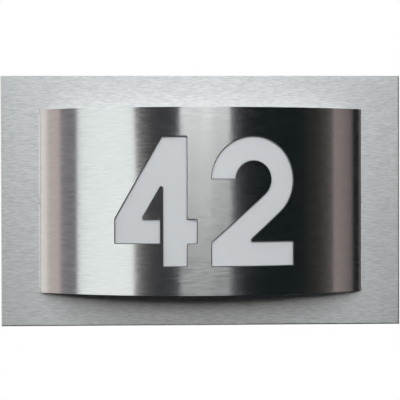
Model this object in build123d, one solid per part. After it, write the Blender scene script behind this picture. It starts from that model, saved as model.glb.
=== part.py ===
from build123d import *
import math
import os

# Illuminated house number sign for an outside wall. Millimetres.
# It is drawn lying on its back, as it is put together on a bench: X runs to the right, Y up the wall
# and Z out of the wall, with Z = 0 on the wall and X = Y = 0 at the middle of the two wall screws.
# The last lines stand every piece up, so that in the finished files Z is up and the front faces -Y.

# ---- Sheet metal ----
sheet = 1.5                 # stainless sheet of the back plate and of the curved panel
bend_inside = 0.5           # inside radius of every folded edge except the tray's
groove_inside = 0.2         # the tray's folds are grooved first, so they come out sharp
groove_outside = 1.0
past = 1.0                  # how far a cutting tool runs beyond the piece it cuts
thread_gap = 0.03           # round every screw thread, stud and rivet shank

# ---- Back plate, a shallow tray with its rim on the wall ----
plate_width = 320.0
plate_height = 200.0
tray_depth = 12.0

# ---- Curved number panel ----
panel_width = 258.0
panel_height = 146.0
panel_rise = 54.0           # crown of the panel above the back plate
root_rise = 1.0             # where the arc ends and the panel turns down into its tabs
shoulder_gap = 0.4          # the panel's edge clears the back plate between its tabs
shoulder_end = 4.0          # height of the shoulder beside each tab
tab_spacing = 6.6           # gap between the two tabs of one side
tab_depth = 7.5             # how far a tab reaches behind the back plate's front
tab_lead = 2.0              # chamfer that leads a tab into its slot
slot_clearance_side = 0.3
slot_clearance_end = 0.4

# ---- The number, laid out on the flat sheet before it is rolled ----
stroke = 19.6
digit_top = 50.7            # heights above and below the middle of the panel
digit_bottom = -50.7
digit_corner = 1.0          # radius of the cutter in the corners
cut_margin = 0.5            # the cut starts this far outside the sheet
four_left = -72.2
four_stem = -33.3           # left edge of the upright stroke
four_bar_top = -13.5
four_stub = 7.8             # how far the bar reaches past the upright stroke
four_bridge = 1.5           # strip of metal that holds the triangle inside the 4
four_slope = 59.1           # degrees, angle of the sloping stroke
four_counter_inset = 16.4   # the triangle's width at its base
two_left = 4.6
two_right = 72.3
two_slope = 41.0            # degrees, angle of the sloping stroke
two_base_top = -30.9

# ---- Opal diffuser behind the panel ----
diffuser_wall = 2.5
diffuser_gap = 0.15         # between the panel and the diffuser
diffuser_side_gap = 9.5     # to the panel's upright sides
diffuser_inset = 1.0        # from the panel's upper and lower edges
diffuser_corner = 2.0
gasket_thickness = 1.5
gasket_width = 5.0
stud_inset = 18.0           # from the diffuser's side to the weld studs
stud_height = 52.0          # above and below the middle
stud_radius = 1.5
stud_clearance = 0.3        # round a stud, in the diffuser and its washers
stud_point = 0.3            # chamfer on the stud's tip
weld_gap = 0.02
boss_radius = 5.0
boss_height = 1.5
cover_washer_radius = 4.0
cover_washer_thickness = 0.8
cover_nut_width = 5.5
cover_nut_thickness = 2.4
stud_past_nut = 1.2

# ---- Wall bracket, a strap with raised ends ----
strap_thickness = 2.0
strap_height = 25.0
strap_margin = 12.0         # from the hanger studs to the strap's ends
strap_flat = 124.0          # length that lies on the wall
strap_slope = 10.0          # length of each sloping part, seen from the front
strap_bend = 3.0
wall_screw_spacing = 60.0
wall_slot_length = 12.0
wall_slot_width = 5.5

# ---- Plate fixing: pressed studs in the bracket, sealing washers and cap nuts ----
hanger_spacing = 184.0
hanger_radius = 2.5
hanger_hole_gap = 0.3
hanger_head_radius = 4.0
hanger_head_thickness = 1.2
hanger_reach = 9.0          # how far a stud stands out of the back plate
hanger_point = 0.5          # chamfer on the stud's tip
seal_washer_radius = 7.0
seal_washer_thickness = 1.5
cap_nut_width = 8.0
cap_nut_hex_height = 4.5
cap_nut_dome_radius = 3.7
cap_nut_dome_sink = 1.0     # the dome's centre lies this far below the end of the stud's bore

# ---- Spring clips that grip the tabs ----
clip_thickness = 0.5
clip_height = 16.0
clip_foot_length = 15.0
clip_reach = 12.0           # from the foot to the panel's side
clip_nose_depth = 4.5       # behind the back plate's rear face
clip_tail_depth = 7.8
clip_tail_back = 4.5        # how far the clip's tail turns away from the tab
clip_bend = 1.0
clip_gap = 0.05
rivet_inset = 5.0           # from the inner end of the clip's foot
rivet_spacing = 7.0
rivet_radius = 1.5
rivet_head_radius = 3.0
rivet_head_height = 1.0
rivet_head_blend = 0.8
rivet_tail_radius = 2.2
rivet_tail_height = 1.6
rivet_tail_blend = 1.0

# ---- White reflector sheet ----
reflector_thickness = 0.8
reflector_bend = 1.2
reflector_side_gap = 1.0    # to the seal washers
reflector_end_gap = 11.0    # to the diffuser's upper and lower walls
reflector_wing = 8.5        # rise of the sloping edges above and below
reflector_screw_inset = 8.0
screw_radius = 1.45
screw_head_radius = 2.8
screw_head_height = 1.9
screw_slot_width = 0.7
screw_slot_depth = 0.8
screw_tail = 3.0            # how far a screw shows behind the back plate

# ---- Cable entry and clamp ----
cable_x = 60.0
cable_inset = 14.0          # from the reflector's upper bend
grommet_bore = 4.0
grommet_neck = 7.0
grommet_flange = 9.5
grommet_lip = 2.4
grommet_blend = 1.4
grommet_room = 1.5          # round the grommet, in the reflector
clamp_away = 18.0           # below the cable entry
clamp_length = 22.0
clamp_depth = 8.0
clamp_height = 9.5
clamp_blend = 1.7
clamp_mouth_width = 9.0
clamp_mouth_height = 6.0
clamp_screw_spacing = 16.0

# ---- Lampholder and its bracket ----
bracket_sheet = 1.5
bracket_width = 32.0
bracket_gap = 3.5           # to the diffuser's lower wall
bracket_foot = 13.0
bracket_lip = 2.0           # how far the shelf reaches past the lampholder
bracket_screw_spacing = 20.0
bracket_screw_up = 6.5
holder_radius = 13.0
holder_height = 34.5
holder_floor = 10.5
holder_ring_radius = 14.5
holder_ring_height = 2.0
shell_clearance = 0.3       # between the lamp cap's thread and the threaded shell
shell_thickness = 0.5
shell_seat_gap = 0.05
shell_height = 17.0
shell_inset = 0.5           # below the holder's upper face
contact_width = 4.0
contact_thickness = 0.4
contact_length = 11.0
contact_rise = 3.9
holder_screw_spacing = 15.0
holder_screw_length = 7.0
pocket_reach = 15.0         # side pocket of the holder where the leads go in
pocket_height = 12.0
pocket_depth = 13.0
pocket_blend = 1.0
lead_seat = 3.0             # how far a lead reaches into the pocket
lead_hole_gap = 0.3

# ---- Lamp, screw cap 14 mm ----
lamp_contact_gap = 0.1      # above the holder's spring contact
button_radius = 2.2
button_height = 1.1
insulator_height = 2.4
insulator_low_radius = 4.2
cap_low_radius = 6.3
cap_thread_radius = 6.95
cap_thread_root = 6.45
cap_thread_pitch = 2.82
cap_turns = 5
cap_neck_height = 4.0
collar_low_radius = 10.5
collar_top_radius = 16.4
collar_height = 18.0
collar_rim_radius = 1.0
bulb_radius = 17.5
bulb_height = 57.0
bulb_swell = 13.0           # height of the widest place above the collar
bulb_tip_radius = 1.6
bulb_wall = 1.2

# ---- Terminal block, earth stud and leads ----
block_inset = 10.0          # from the reflector's right edge
block_away = 23.0           # from the cable clamp down to the block's middle
block_width = 24.0
block_height = 16.0
block_shoulder = 4.5
block_shoulder_height = 12.0
block_blend = 1.0
block_groove = 0.8
block_groove_sink = 1.0     # below the shoulder
block_screw_sink = 2.5      # the fixing screws' seats lie this far below the block's top
pole_pitch = 10.0
pole_level = 8.2            # wire level above the reflector
entry_gap = 0.4             # round a lead
clamp_block_length = 15.0
clamp_block_size = 4.6
clamp_block_gap = 0.1
well_gap = 0.5              # round a terminal screw
well_spacing = 10.0
terminal_screw_radius = 1.6
terminal_screw_height = 3.2
terminal_shank_radius = 0.9
earth_x = 60.0
earth_away = 10.0           # below the terminal block
earth_radius = 2.0
earth_head_radius = 3.6
earth_head_thickness = 1.2
earth_length = 9.5
earth_point = 0.4           # chamfer on the stud's tip
earth_washer_radius = 4.5
earth_washer_thickness = 0.8
lug_thickness = 0.8
lug_radius = 4.0
lug_barrel_radius = 1.6
lug_barrel_length = 5.0
lug_barrel_away = 5.2       # from the stud to the near end of the lug's barrel
earth_nut_width = 7.0
earth_nut_thickness = 3.2
lead_radius = 0.9
neutral_drop_x = 28.0
live_drop_x = 32.0
earth_drop_x = 37.5
lead_sway = 1.2             # how far a lead wanders off a straight line
lead_entry_gap = 4.5        # between the two leads at the holder's pocket
bend_share = 0.45           # share of the shorter run that a bend may use

# ---- Levels above the wall and sizes that follow ----
plate_back = tray_depth - sheet
plate_front = tray_depth
reflector_front = plate_front + reflector_thickness
panel_half = panel_width / 2
arc_rise = panel_rise - root_rise
panel_radius = (panel_half ** 2 + arc_rise ** 2) / (2 * arc_rise)
panel_crown = plate_front + panel_rise
arc_centre = panel_crown - panel_radius
tab_length = (panel_height - 2 * shoulder_end - tab_spacing) / 2
tab_middle = (tab_spacing + tab_length) / 2
tab_end = plate_front - tab_depth
diffuser_radius = panel_radius - sheet - diffuser_gap
diffuser_rim = plate_front + gasket_thickness
diffuser_width = panel_width - 2 * (sheet + diffuser_side_gap)
diffuser_height = panel_height - 2 * diffuser_inset
stud_angle = math.degrees(math.asin((diffuser_width / 2 - stud_inset) / panel_radius))
strap_length = hanger_spacing + 2 * strap_margin
clip_foot_end = panel_half - clip_reach
clip_foot_start = clip_foot_end - clip_foot_length
rivet_place = clip_foot_start + rivet_inset
reflector_width = hanger_spacing - 2 * (seal_washer_radius + reflector_side_gap)
reflector_flat = diffuser_height - 2 * (diffuser_wall + reflector_end_gap + reflector_wing)
reflector_screw_x = reflector_width / 2 - reflector_screw_inset
reflector_screw_y = reflector_flat / 2 - reflector_screw_inset
cable_y = reflector_flat / 2 - cable_inset
clamp_y = cable_y - clamp_away
block_left = reflector_width / 2 - block_inset - block_width
block_middle = clamp_y - block_away
entry_radius = lead_radius + entry_gap
well_radius = terminal_screw_radius + well_gap
clamp_face = block_left + block_width / 2 - clamp_block_length / 2
earth_y = block_middle - 1.5 * pole_pitch - earth_away
earth_washer_top = reflector_front + earth_washer_thickness
lug_top = earth_washer_top + lug_thickness
lamp_level = (reflector_front + arc_centre + diffuser_radius - diffuser_wall) / 2
bracket_bottom = diffuser_wall + bracket_gap - diffuser_height / 2
bracket_reach = lamp_level + holder_radius + bracket_lip - plate_front
holder_bottom = bracket_bottom + bracket_sheet
contact_seat = holder_bottom + holder_floor
shell_radius = cap_thread_radius + shell_clearance
lamp_bottom = contact_seat + contact_rise + lamp_contact_gap
button_top = lamp_bottom + button_height
insulator_top = button_top + insulator_height
thread_top = insulator_top + cap_turns * cap_thread_pitch
cap_top = thread_top + cap_neck_height
collar_top = cap_top + collar_height
four_stem_right = four_stem + stroke
two_bowl = (two_right - two_left) / 2
two_middle = (two_right + two_left) / 2
two_bowl_middle = digit_top - two_bowl
sides = (-1, 1)


# ---- Small helpers ----
def block(x, y, z):
    """A box between two limits along each axis."""
    size = (x[1] - x[0], y[1] - y[0], z[1] - z[0])
    middle = ((x[0] + x[1]) / 2, (y[0] + y[1]) / 2, (z[0] + z[1]) / 2)
    return Pos(*middle) * Box(*size)


def disc(x, y, radius, low, high):
    """A round bar that stands out of the wall, between two levels."""
    return Pos(x, y, (low + high) / 2) * Cylinder(radius, high - low)


def nut(x, y, width, low, high):
    """A hexagon bar that stands out of the wall, between two levels."""
    hexagon = RegularPolygon(width / 2, 6, major_radius=False)
    return Pos(x, y, low) * extrude(hexagon, high - low)


def pan_screw(x, y, seat, tip):
    """A slotted pan-head screw: its head lies on the seat level and its thread ends at the tip level."""
    head = disc(x, y, screw_head_radius, seat, seat + screw_head_height)
    head = fillet(head.faces().sort_by(Axis.Z)[-1].edges(), screw_head_height / 2)
    top = seat + screw_head_height
    slot = block((x - screw_head_radius, x + screw_head_radius),
                 (y - screw_slot_width / 2, y + screw_slot_width / 2), (top - screw_slot_depth, top + past))
    return head + disc(x, y, screw_radius, tip, seat) - slot


def group(pieces):
    """Several separate solids that share one name."""
    return Compound([solid for piece in pieces for solid in piece.solids()])


def arc_level(radius, x):
    """Level of a sheet bent to this radius about the panel's centre of curvature."""
    return arc_centre + math.sqrt(radius ** 2 - x ** 2)


def bowed_face(radius, half, bottom, corner):
    """Cross-section under an arc, between two upright sides, seen from below the sign."""
    root = arc_level(radius, half)
    arc = ThreePointArc((-half, root), (0, arc_centre + radius), (half, root))
    sides_and_foot = Polyline((half, root), (half, bottom), (-half, bottom), (-half, root))
    face = make_face(arc + sides_and_foot)
    shoulders = face.vertices().sort_by(Axis.Y)[-2:]
    return fillet(shoulders, corner)


def bowed_bar(face, height):
    """The cross-section drawn out along the height of the sign."""
    return extrude(Plane.XZ * face, height / 2, both=True)


def bent_strip(plane, points, bend, thickness, width):
    """Sheet metal bent along a line of points in this plane and as wide as given across it."""
    line = FilletPolyline(*points, radius=bend)
    return extrude(plane * trace(line, thickness), width / 2, both=True)


def turned(face, level):
    """A piece turned about the lamp axis, which runs up the sign at this level above the wall."""
    return revolve(Pos(0, 0, level) * face, Axis((0, 0, level), (0, 1, 0)))


# ---- Places that several pieces share ----
hanger_places = [side * hanger_spacing / 2 for side in sides]
clip_places = [(side, row * tab_middle) for side in sides for row in sides]
rivet_shifts = [side * rivet_spacing / 2 for side in sides]
rivet_places = [(side * rivet_place, y + shift) for side, y in clip_places for shift in rivet_shifts]
reflector_screw_places = [(a * reflector_screw_x, b * reflector_screw_y) for a in sides for b in sides]
bracket_screw_places = [(side * bracket_screw_spacing / 2, bracket_bottom + bracket_screw_up) for side in sides]
clamp_screw_places = [(cable_x + side * clamp_screw_spacing / 2, clamp_y) for side in sides]
pole_places = [block_middle + row * pole_pitch for row in (1, 0, -1)]
block_middle_x = block_left + block_width / 2
block_screw_places = [(block_middle_x, block_middle + side * pole_pitch / 2) for side in sides]
well_places = [(block_middle_x + side * well_spacing / 2, y) for y in pole_places for side in sides]
pole_line = reflector_front + pole_level
stud_places = [(side * stud_angle, row * stud_height) for side in sides for row in sides]


def stud_plane(angle, y, radius):
    """A plane on the panel's arc whose Z axis points back towards the centre of curvature."""
    turn = math.radians(angle)
    place = (radius * math.sin(turn), y, arc_centre + radius * math.cos(turn))
    return Plane(origin=place, x_dir=(0, 1, 0), z_dir=(-math.sin(turn), 0, -math.cos(turn)))


# ---- Base: what stays on the wall ----
def folded_form(width, height, depth, radius):
    """A box whose four upper edges are rounded as folds are, so that its corners stay sharp in the front view."""
    forms = []
    for plane, across, along in ((Plane.XZ, width, height), (Plane.YZ, height, width)):
        face = Pos(0, depth / 2) * Rectangle(across, depth)
        face = fillet(face.vertices().sort_by(Axis.Y)[-2:], radius)
        forms.append(extrude(plane * face, along / 2, both=True))
    return forms[0] & forms[1]


def make_back_plate():
    tray = folded_form(plate_width, plate_height, tray_depth, groove_outside)
    tray -= folded_form(plate_width - 2 * sheet, plate_height - 2 * sheet, plate_back, groove_inside)
    through = (plate_back - past, plate_front + past)
    for side, y in clip_places:
        x = side * (panel_half - sheet / 2)
        half_x = sheet / 2 + slot_clearance_side
        half_y = tab_length / 2 + slot_clearance_end
        tray -= block((x - half_x, x + half_x), (y - half_y, y + half_y), through)
    for x in hanger_places:
        tray -= disc(x, 0, hanger_radius + hanger_hole_gap, *through)
    for x, y in rivet_places:
        tray -= disc(x, y, rivet_radius + thread_gap, *through)
    for x, y in reflector_screw_places + bracket_screw_places + clamp_screw_places + block_screw_places:
        tray -= disc(x, y, screw_radius + thread_gap, *through)
    tray -= disc(cable_x, cable_y, grommet_neck, *through)
    tray -= disc(earth_x, earth_y, earth_radius + thread_gap, *through)
    return tray


def make_wall_bracket():
    low = strap_thickness / 2
    high = plate_back - strap_thickness / 2
    flat = strap_flat / 2
    end = strap_length / 2
    slope_end = flat + strap_slope
    line = [(-end, high), (-slope_end, high), (-flat, low), (flat, low), (slope_end, high), (end, high)]
    strap = bent_strip(Plane.XZ, line, strap_bend, strap_thickness, strap_height)
    for side in sides:
        slot = Pos(side * wall_screw_spacing / 2, 0, -past) * SlotOverall(wall_slot_length, wall_slot_width)
        strap -= extrude(slot, strap_thickness + 2 * past)
    for x in hanger_places:
        strap -= disc(x, 0, hanger_radius + thread_gap, 0, plate_back + past)
    return strap


def make_hanger_studs():
    seat = plate_back - strap_thickness
    studs = []
    for x in hanger_places:
        shank = disc(x, 0, hanger_radius, seat, plate_front + hanger_reach)
        shank = chamfer(shank.faces().sort_by(Axis.Z)[-1].edges(), hanger_point)
        studs.append(shank + disc(x, 0, hanger_head_radius, seat - hanger_head_thickness, seat))
    return group(studs)


def make_seal_washers():
    top = plate_front + seal_washer_thickness
    washers = []
    for x in hanger_places:
        hole = disc(x, 0, hanger_radius + thread_gap, plate_front - past, top + past)
        washers.append(disc(x, 0, seal_washer_radius, plate_front, top) - hole)
    return group(washers)


def make_cap_nuts():
    seat = plate_front + seal_washer_thickness
    bore_end = plate_front + hanger_reach + thread_gap
    dome_level = bore_end - cap_nut_dome_sink
    nuts = []
    for x in hanger_places:
        solid = nut(x, 0, cap_nut_width, seat, seat + cap_nut_hex_height)
        solid += disc(x, 0, cap_nut_dome_radius, seat, dome_level)
        solid += Pos(x, 0, dome_level) * Sphere(cap_nut_dome_radius)
        nuts.append(solid - disc(x, 0, hanger_radius + thread_gap, seat - past, bore_end))
    return group(nuts)


def make_spring_clips():
    nose = panel_half - sheet - clip_gap - clip_thickness / 2
    foot = plate_back - clip_thickness / 2
    line = [(clip_foot_start, foot), (clip_foot_end, foot), (nose, plate_back - clip_nose_depth),
            (nose - clip_tail_back, plate_back - clip_tail_depth)]
    spring = bent_strip(Plane.XZ, line, clip_bend, clip_thickness, clip_height)
    # The rounded nose reaches less far than the corner of its path, so it is moved up to the tab.
    reach = panel_half - sheet - clip_gap - spring.bounding_box().max.X
    clips = []
    for side, y in clip_places:
        clip = Pos(reach, y, 0) * spring
        for shift in rivet_shifts:
            clip -= disc(rivet_place, y + shift, rivet_radius + thread_gap, 0, plate_back + past)
        clips.append(clip if side > 0 else mirror(clip, Plane.YZ))
    return group(clips)


def make_clip_rivets():
    back = plate_back - clip_thickness
    rivets = []
    for x, y in rivet_places:
        head = disc(x, y, rivet_head_radius, plate_front, plate_front + rivet_head_height)
        head = fillet(head.faces().sort_by(Axis.Z)[-1].edges(), rivet_head_blend)
        tail = disc(x, y, rivet_tail_radius, back - rivet_tail_height, back)
        tail = fillet(tail.faces().sort_by(Axis.Z)[0].edges(), rivet_tail_blend)
        rivets.append(head + disc(x, y, rivet_radius, back, plate_front) + tail)
    return group(rivets)


def make_cover_gasket():
    line_width = diffuser_width - diffuser_wall
    line_height = diffuser_height - diffuser_wall
    outside = RectangleRounded(line_width + gasket_width, line_height + diffuser_wall, gasket_width)
    inside = RectangleRounded(line_width - gasket_width, line_height - gasket_width, gasket_width / 2)
    return Pos(0, 0, plate_front) * extrude(outside - inside, gasket_thickness)


def make_reflector():
    middle = plate_front + reflector_thickness / 2
    flat = reflector_flat / 2
    line = [(-flat - reflector_wing, middle + reflector_wing), (-flat, middle), (flat, middle),
            (flat + reflector_wing, middle + reflector_wing)]
    panel = bent_strip(Plane.YZ, line, reflector_bend, reflector_thickness, reflector_width)
    through = (plate_front - past, reflector_front + past)
    for x, y in reflector_screw_places + clamp_screw_places + block_screw_places:
        panel -= disc(x, y, screw_radius + thread_gap, *through)
    panel -= disc(cable_x, cable_y, grommet_flange + grommet_room, *through)
    panel -= disc(earth_x, earth_y, earth_radius + thread_gap, *through)
    return panel


def make_reflector_screws():
    return group([pan_screw(x, y, reflector_front, plate_back - screw_tail) for x, y in reflector_screw_places])


def make_cable_grommet():
    solid = disc(cable_x, cable_y, grommet_neck, plate_back, plate_front)
    for low, high in ((plate_back - grommet_lip, plate_back), (plate_front, plate_front + grommet_lip)):
        lip = disc(cable_x, cable_y, grommet_flange, low, high)
        outer = lip.faces().sort_by(Axis.Z)[0 if low < plate_back else -1].edges()
        solid += fillet(outer, grommet_blend)
    return solid - disc(cable_x, cable_y, grommet_bore, 0, 2 * plate_front)


def make_cable_clamp():
    half_y = clamp_depth / 2
    top = reflector_front + clamp_height
    bridge = block((cable_x - clamp_length / 2, cable_x + clamp_length / 2),
                   (clamp_y - half_y, clamp_y + half_y), (reflector_front, top))
    bridge = fillet(bridge.edges().filter_by(Axis.Y).group_by(Axis.Z)[-1], clamp_blend)
    bridge -= block((cable_x - clamp_mouth_width / 2, cable_x + clamp_mouth_width / 2),
                    (clamp_y - clamp_depth, clamp_y + clamp_depth),
                    (plate_front, reflector_front + clamp_mouth_height))
    for x, y in clamp_screw_places:
        bridge -= disc(x, y, screw_radius + thread_gap, plate_front, top + past)
    return bridge


def make_cable_clamp_screws():
    seat = reflector_front + clamp_height
    return group([pan_screw(x, y, seat, plate_back - screw_tail) for x, y in clamp_screw_places])


def make_lampholder_bracket():
    foot = plate_front + bracket_sheet / 2
    shelf = bracket_bottom + bracket_sheet / 2
    line = [(bracket_bottom + bracket_foot, foot), (shelf, foot), (shelf, plate_front + bracket_reach)]
    angle = bent_strip(Plane.YZ, line, bend_inside + bracket_sheet / 2, bracket_sheet, bracket_width)
    for x, y in bracket_screw_places:
        angle -= disc(x, y, screw_radius + thread_gap, plate_front - past, plate_front + bracket_sheet + past)
    for side in sides:
        bore = Cylinder(screw_radius + thread_gap, 2 * (bracket_sheet + past), rotation=(90, 0, 0))
        angle -= Pos(side * holder_screw_spacing / 2, holder_bottom, lamp_level) * bore
    return angle


def make_bracket_screws():
    seat = plate_front + bracket_sheet
    return group([pan_screw(x, y, seat, plate_back - screw_tail) for x, y in bracket_screw_places])


def holder_screw_plane(x):
    """A plane under the lampholder's shelf whose Z axis points down the sign, out of the screw's head."""
    return Plane(origin=(x, bracket_bottom, lamp_level), x_dir=(1, 0, 0), z_dir=(0, -1, 0))


def make_holder_screws():
    screw = pan_screw(0, 0, 0, -bracket_sheet - holder_screw_length)
    return group([holder_screw_plane(side * holder_screw_spacing / 2) * screw for side in sides])


def make_lampholder_body():
    top = holder_bottom + holder_height
    ring = top - holder_ring_height
    outline = Polyline((0, holder_bottom), (holder_radius, holder_bottom), (holder_radius, ring),
                       (holder_ring_radius, ring), (holder_ring_radius, top), (0, top), close=True)
    body = turned(make_face(outline), lamp_level)
    pocket = block((0, pocket_reach), (holder_bottom, holder_bottom + pocket_height),
                   (lamp_level - pocket_depth / 2, lamp_level + pocket_depth / 2))
    body += fillet(pocket.edges().filter_by(Axis.Y), pocket_blend)
    bore_radius = shell_radius + shell_thickness + shell_seat_gap
    bore = Rectangle(bore_radius, holder_height, align=(Align.MIN, Align.MIN))
    body -= turned(Pos(0, contact_seat) * bore, lamp_level)
    for side in sides:
        hole = disc(0, 0, screw_radius + thread_gap, -bracket_sheet - holder_screw_length,
                    thread_gap - bracket_sheet)
        body -= holder_screw_plane(side * holder_screw_spacing / 2) * hole
    for _, y in lead_ends():
        entry = Cylinder(lead_radius + lead_hole_gap, pocket_reach, rotation=(0, 90, 0))
        body -= Pos(pocket_reach + pocket_reach / 2 - lead_seat, y, lamp_level) * entry
    return body


def make_lampholder_shell():
    tube = Rectangle(shell_thickness, shell_height, align=(Align.MIN, Align.MAX))
    top = holder_bottom + holder_height - shell_inset
    return turned(Pos(shell_radius, top) * tube, lamp_level)


def make_lampholder_contact():
    half = contact_length / 2
    low = contact_seat + contact_thickness / 2
    line = [(half, low), (-half, low), (-half, low + contact_rise / 2),
            (0, contact_seat + contact_rise - contact_thickness / 2), (half / 2, low + contact_rise / 2)]
    strip = bent_strip(Plane.XY, line, contact_thickness, contact_thickness, contact_width)
    return Pos(0, 0, lamp_level) * strip


# ---- Terminal block, earth stud and leads ----
def lead_ends():
    """Where the two lamp leads enter the holder's pocket, neutral above live."""
    middle = holder_bottom + pocket_height / 2
    return [(pocket_reach - lead_seat, middle + side * lead_entry_gap / 2) for side in (1, -1)]


def make_terminal_block():
    right = block_left + block_width
    low_y = block_middle - 1.5 * pole_pitch
    high_y = block_middle + 1.5 * pole_pitch
    shoulder = reflector_front + block_shoulder_height
    body = block((block_left, right), (low_y, high_y), (reflector_front, shoulder))
    body += block((block_left + block_shoulder, right - block_shoulder), (low_y, high_y),
                  (reflector_front, reflector_front + block_height))
    body = fillet(body.edges().filter_by(Axis.Y).group_by(Axis.Z)[-1], block_blend)
    top = reflector_front + block_height
    for y in pole_places[:-1]:
        line = y - pole_pitch / 2
        body -= block((block_left - past, right + past), (line - block_groove / 2, line + block_groove / 2),
                      (shoulder - block_groove_sink, top + past))
    reach = clamp_block_size / 2 + clamp_block_gap
    half = clamp_block_length / 2 + clamp_block_gap
    for y in pole_places:
        body -= block((block_middle_x - half, block_middle_x + half), (y - reach, y + reach),
                      (pole_line - reach, pole_line + reach))
        entry = Cylinder(entry_radius, block_width + 2 * past, rotation=(0, 90, 0))
        body -= Pos(block_middle_x, y, pole_line) * entry
    for x, y in well_places:
        body -= disc(x, y, well_radius, pole_line, top + past)
    for x, y in block_screw_places:
        body -= disc(x, y, screw_radius + thread_gap, plate_front, top + past)
        body -= disc(x, y, screw_head_radius + stud_clearance, top - block_screw_sink, top + past)
    return body


def make_block_screws():
    seat = reflector_front + block_height - block_screw_sink
    return group([pan_screw(x, y, seat, plate_back - screw_tail) for x, y in block_screw_places])


def make_terminal_clamps():
    half = clamp_block_size / 2
    clamps = []
    for y in pole_places:
        clamp = block((block_middle_x - clamp_block_length / 2, block_middle_x + clamp_block_length / 2),
                      (y - half, y + half), (pole_line - half, pole_line + half))
        for side in sides:
            x = block_middle_x + side * well_spacing / 2
            clamp -= disc(x, y, terminal_shank_radius + thread_gap, pole_line, pole_line + half + past)
        clamps.append(clamp)
    return group(clamps)


def make_terminal_screws():
    seat = pole_line + clamp_block_size / 2
    screws = []
    for x, y in well_places:
        screw = disc(x, y, terminal_screw_radius, seat, seat + terminal_screw_height)
        top = seat + terminal_screw_height
        screw -= block((x - well_radius, x + well_radius), (y - screw_slot_width / 2, y + screw_slot_width / 2),
                       (top - screw_slot_depth, top + past))
        screws.append(screw + disc(x, y, terminal_shank_radius, pole_line + thread_gap, seat))
    return group(screws)


def make_earth_stud():
    head = disc(earth_x, earth_y, earth_head_radius, plate_back - earth_head_thickness, plate_back)
    shank = disc(earth_x, earth_y, earth_radius, plate_back, plate_front + earth_length)
    return head + chamfer(shank.faces().sort_by(Axis.Z)[-1].edges(), earth_point)


def make_earth_washer():
    return (disc(earth_x, earth_y, earth_washer_radius, reflector_front, earth_washer_top)
            - disc(earth_x, earth_y, earth_radius + thread_gap, plate_front, earth_washer_top + past))


def make_earth_lug():
    barrel_level = earth_washer_top + lug_barrel_radius
    near = earth_x - lug_barrel_away
    ring = disc(earth_x, earth_y, lug_radius, earth_washer_top, lug_top)
    tongue = block((near - lug_barrel_length, earth_x),
                   (earth_y - lug_barrel_radius, earth_y + lug_barrel_radius), (earth_washer_top, lug_top))
    barrel = Pos(near - lug_barrel_length / 2, earth_y, barrel_level) * Cylinder(
        lug_barrel_radius, lug_barrel_length, rotation=(0, 90, 0))
    hole = disc(earth_x, earth_y, earth_radius + thread_gap, plate_front, lug_top + past)
    return ring + tongue + barrel - hole


def make_earth_nut():
    top = lug_top + earth_nut_thickness
    hole = disc(earth_x, earth_y, earth_radius + thread_gap, lug_top - past, top + past)
    return nut(earth_x, earth_y, earth_nut_width, lug_top, top) - hole


def make_lead(points, name):
    """An insulated wire along straight runs joined by arcs as large as the runs allow."""
    corners = [Vector(*point) for point in points]
    radii = []
    for before, here, after in zip(corners, corners[1:], corners[2:]):
        turn = (here - before).get_angle(after - here)
        run = min((here - before).length, (after - here).length)
        radii.append(bend_share * run / math.tan(math.radians(turn) / 2))
    path = FilletPolyline(*points, radius=radii)
    start = Plane(origin=path @ 0, z_dir=path % 0)
    lead = sweep(start * Circle(lead_radius), path=path)
    expected = math.pi * lead_radius ** 2 * path.length
    print(name, "length", round(path.length, 1), "smallest bend radius", round(min(radii), 1),
          "volume over section times length", round(lead.volume / expected, 4))
    return lead


def make_neutral_lead():
    (end_x, end_y), _ = lead_ends()
    start_y = pole_places[0]
    half_way = (start_y + end_y) / 2
    return make_lead([(clamp_face, start_y, pole_line), (neutral_drop_x, start_y, pole_line),
                      (neutral_drop_x - lead_sway, half_way, (pole_line + lamp_level) / 2 - lead_sway),
                      (neutral_drop_x, end_y, lamp_level), (end_x, end_y, lamp_level)], "neutral lead")


def make_live_lead():
    _, (end_x, end_y) = lead_ends()
    start_y = pole_places[1]
    half_way = (start_y + end_y) / 2
    return make_lead([(clamp_face, start_y, pole_line), (live_drop_x, start_y, pole_line),
                      (live_drop_x + lead_sway, half_way, (pole_line + lamp_level) / 2 - lead_sway),
                      (live_drop_x, end_y, lamp_level), (end_x, end_y, lamp_level)], "live lead")


def make_earth_lead():
    start_y = pole_places[2]
    end_x = earth_x - lug_barrel_away - lug_barrel_length
    end_level = earth_washer_top + lug_barrel_radius
    return make_lead([(clamp_face, start_y, pole_line), (earth_drop_x, start_y, pole_line),
                      (earth_drop_x, earth_y, end_level), (end_x, earth_y, end_level)], "earth lead")


# ---- Cover: the curved panel with its diffuser ----
def four_outline():
    """The 4 on the flat sheet; the strip beside the stem keeps its triangle from falling out."""
    slope = math.tan(math.radians(four_slope))
    bar_bottom = four_bar_top - stroke
    bar_end = four_stem - four_bridge
    shoulder = four_left + (digit_top - four_bar_top) / slope
    counter_left = four_stem - four_counter_inset
    counter_top = four_bar_top + four_counter_inset * slope
    points = [(shoulder, digit_top), (four_stem_right, digit_top), (four_stem_right, four_bar_top),
              (four_stem_right + four_stub, four_bar_top), (four_stem_right + four_stub, bar_bottom),
              (four_stem_right, bar_bottom), (four_stem_right, digit_bottom), (four_stem, digit_bottom),
              (four_stem, counter_top), (counter_left, four_bar_top), (bar_end, four_bar_top),
              (bar_end, bar_bottom), (four_left, bar_bottom), (four_left, four_bar_top)]
    face = make_face(Polyline(*points, close=True))
    return fillet(face.vertices(), digit_corner)


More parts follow.
